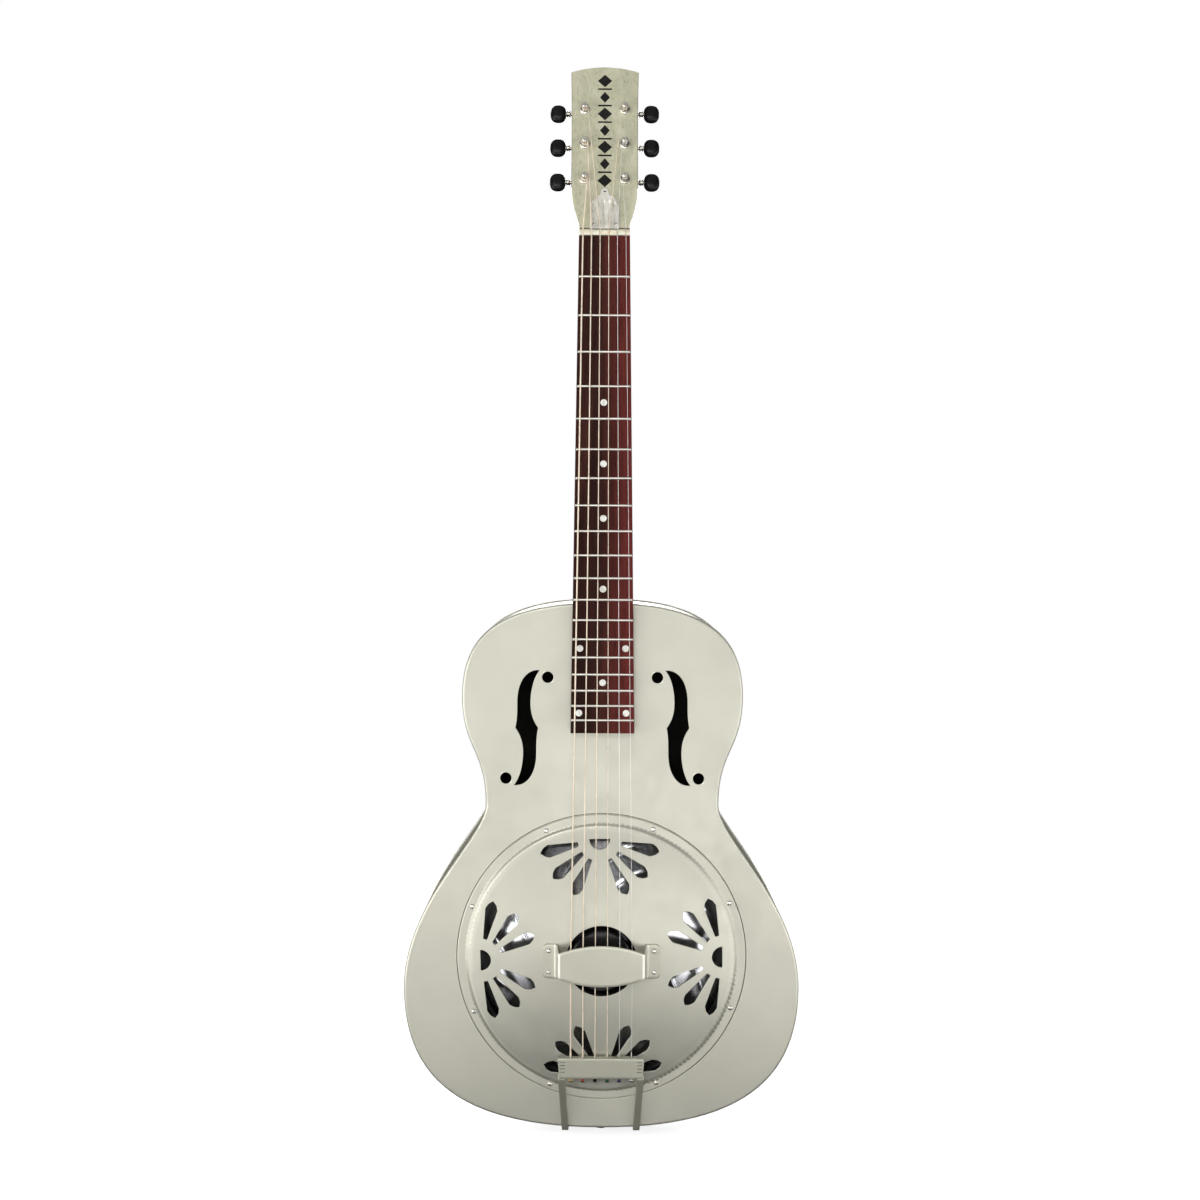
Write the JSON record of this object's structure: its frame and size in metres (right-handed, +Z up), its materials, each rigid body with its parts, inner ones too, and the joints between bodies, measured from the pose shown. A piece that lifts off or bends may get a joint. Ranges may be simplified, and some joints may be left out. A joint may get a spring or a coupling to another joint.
{
  "type": "resonator guitar",
  "caption": "Metal-bodied resonator guitar: waisted hollow body, pierced round cover over a spun cone, hand rest, fretted neck, slanted headstock with geared tuners.",
  "frame": {"origin": "middle of the neck's back at the nut, where the arms of a wall hanger hold it under the flare of the head", "axes": "+Z up the neck from the body towards the head, -Y the way the strings face, +X towards the thin strings"},
  "size_m": [0.354, 0.1112, 0.9677],
  "materials": {
    "body_paint": "satin, worn warm grey over steel",
    "nickel": "polished nickel, slightly dulled",
    "spun_aluminium": "spun, fine concentric lines",
    "steel": "plain drawn",
    "wound_bronze": "bronze round wound",
    "rosewood": "oiled, open pored",
    "mahogany": "dark stain, satin lacquer",
    "maple": "bare",
    "ebonised_wood": "stained black, satin",
    "pearloid": "pearl swirl, gloss",
    "bone": "polished bone",
    "black_button": "gloss black"
  },
  "bodies": {
    "guitar": {"top_plate": "body_paint", "side_band": "body_paint", "back_plate": "body_paint", "cone_well": "body_paint", "cone": "spun_aluminium", "biscuit": "ebonised_wood", "saddle": "maple", "cover_plate": "body_paint", "hand_rest": "body_paint", "tailpiece": "body_paint", "strap_button": "nickel", "neck": "mahogany", "neck_stick": "maple", "fingerboard": "rosewood", "nut": "bone", "truss_rod": "steel", "headstock_veneer": "pearloid", "truss_rod_cover": "pearloid", "string_1": "wound_bronze", "string_2": "wound_bronze", "string_3": "wound_bronze", "string_4": "wound_bronze", "string_5": "steel", "string_6": "steel", "tuner_plate_1": "nickel", "tuner_plate_2": "nickel", "tuner_plate_3": "nickel", "tuner_plate_4": "nickel", "tuner_plate_5": "nickel", "tuner_plate_6": "nickel"},
    "key_1": {"worm_shaft_1": "nickel", "tuner_button_1": "black_button"},
    "post_1": {"tuner_post_1": "nickel", "tuner_gear_1": "nickel"},
    "key_2": {"worm_shaft_2": "nickel", "tuner_button_2": "black_button"},
    "post_2": {"tuner_post_2": "nickel", "tuner_gear_2": "nickel"},
    "key_3": {"worm_shaft_3": "nickel", "tuner_button_3": "black_button"},
    "post_3": {"tuner_post_3": "nickel", "tuner_gear_3": "nickel"},
    "key_4": {"worm_shaft_4": "nickel", "tuner_button_4": "black_button"},
    "post_4": {"tuner_post_4": "nickel", "tuner_gear_4": "nickel"},
    "key_5": {"worm_shaft_5": "nickel", "tuner_button_5": "black_button"},
    "post_5": {"tuner_post_5": "nickel", "tuner_gear_5": "nickel"},
    "key_6": {"worm_shaft_6": "nickel", "tuner_button_6": "black_button"},
    "post_6": {"tuner_post_6": "nickel", "tuner_gear_6": "nickel"}
  },
  "joints": [
    {"name": "key_1_turn", "type": "hinge", "parent": "guitar", "child": "key_1", "pos_m": [-0.0258, 0.01587, 0.05474], "axis": [1, 0, 0], "continuous": true},
    {"name": "post_1_turn", "type": "hinge", "parent": "guitar", "child": "post_1", "pos_m": [-0.0178, 0.01408, 0.04746], "axis": [0, 0.9709, -0.2394], "continuous": true},
    {"name": "key_2_turn", "type": "hinge", "parent": "guitar", "child": "key_2", "pos_m": [-0.0258, 0.02389, 0.08727], "axis": [1, 0, 0], "continuous": true},
    {"name": "post_2_turn", "type": "hinge", "parent": "guitar", "child": "post_2", "pos_m": [-0.0178, 0.0221, 0.07998], "axis": [0, 0.9709, -0.2394], "continuous": true},
    {"name": "key_3_turn", "type": "hinge", "parent": "guitar", "child": "key_3", "pos_m": [-0.0258, 0.03191, 0.11979], "axis": [1, 0, 0], "continuous": true},
    {"name": "post_3_turn", "type": "hinge", "parent": "guitar", "child": "post_3", "pos_m": [-0.0178, 0.03012, 0.11251], "axis": [0, 0.9709, -0.2394], "continuous": true},
    {"name": "key_4_turn", "type": "hinge", "parent": "guitar", "child": "key_4", "pos_m": [0.0258, 0.03191, 0.11979], "axis": [1, 0, 0], "continuous": true},
    {"name": "post_4_turn", "type": "hinge", "parent": "guitar", "child": "post_4", "pos_m": [0.0178, 0.03012, 0.11251], "axis": [0, 0.9709, -0.2394], "continuous": true},
    {"name": "key_5_turn", "type": "hinge", "parent": "guitar", "child": "key_5", "pos_m": [0.0258, 0.02389, 0.08727], "axis": [1, 0, 0], "continuous": true},
    {"name": "post_5_turn", "type": "hinge", "parent": "guitar", "child": "post_5", "pos_m": [0.0178, 0.0221, 0.07998], "axis": [0, 0.9709, -0.2394], "continuous": true},
    {"name": "key_6_turn", "type": "hinge", "parent": "guitar", "child": "key_6", "pos_m": [0.0258, 0.01587, 0.05474], "axis": [1, 0, 0], "continuous": true},
    {"name": "post_6_turn", "type": "hinge", "parent": "guitar", "child": "post_6", "pos_m": [0.0178, 0.01408, 0.04746], "axis": [0, 0.9709, -0.2394], "continuous": true}
  ],
  "couplings": [
    {"joint": "post_1_turn", "follows": "key_1_turn", "ratio": -0.066667},
    {"joint": "post_2_turn", "follows": "key_2_turn", "ratio": -0.066667},
    {"joint": "post_3_turn", "follows": "key_3_turn", "ratio": -0.066667},
    {"joint": "post_4_turn", "follows": "key_4_turn", "ratio": -0.066667},
    {"joint": "post_5_turn", "follows": "key_5_turn", "ratio": -0.066667},
    {"joint": "post_6_turn", "follows": "key_6_turn", "ratio": -0.066667}
  ]
}
